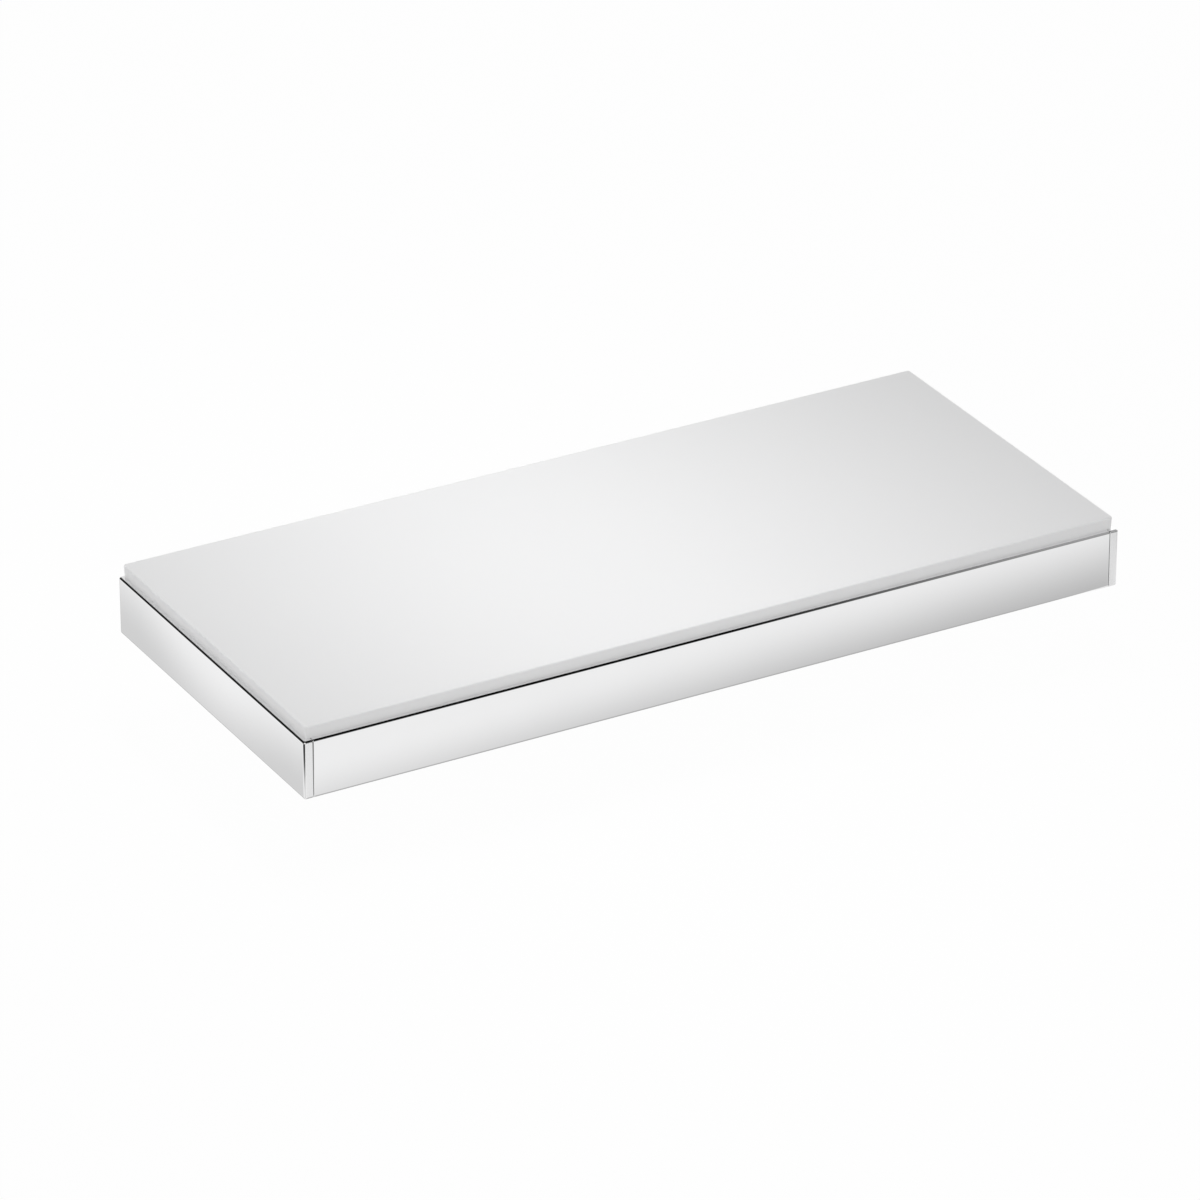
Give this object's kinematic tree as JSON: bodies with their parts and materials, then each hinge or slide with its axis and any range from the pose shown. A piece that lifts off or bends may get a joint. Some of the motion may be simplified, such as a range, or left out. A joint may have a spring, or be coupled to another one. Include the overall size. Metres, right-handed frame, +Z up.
{
  "type": "wall shelf",
  "caption": "Small wall shelf: a white lift-out panel in a chrome frame of front rail and end plates, hung on hidden brackets inside a rear channel rail.",
  "frame": {"origin": "on the wall plane, midway along the shelf, at the height of the wall screws' axes", "axes": "+X along the wall to the right as seen from the front, +Y into the wall, +Z up; the front rail faces -Y"},
  "size_m": [0.3, 0.13, 0.0249],
  "materials": {
    "panel_white": "satin",
    "chrome": "polished",
    "rail_aluminium": "satin",
    "cast_zinc": "matte",
    "screw_steel": "satin",
    "pad_silicone": "matte"
  },
  "bodies": {
    "frame": {"front_rail": "chrome", "rear_rail": "rail_aluminium", "left_end_plate": "chrome", "right_end_plate": "chrome", "left_wall_bracket": "cast_zinc", "right_wall_bracket": "cast_zinc", "left_clamp_screw": "screw_steel", "right_clamp_screw": "screw_steel", "front_left_rail_screw": "screw_steel", "front_right_rail_screw": "screw_steel", "rear_left_rail_screw": "screw_steel", "rear_right_rail_screw": "screw_steel"},
    "panel": {"shelf_panel": "panel_white", "front_left_pad": "pad_silicone", "front_centre_pad": "pad_silicone", "front_right_pad": "pad_silicone", "rear_left_pad": "pad_silicone", "rear_centre_pad": "pad_silicone", "rear_right_pad": "pad_silicone"}
  },
  "joints": [
    {"name": "panel_lift", "type": "slide", "parent": "frame", "child": "panel", "axis": [0, 0, 1], "range_m": [0, 0.05]}
  ]
}
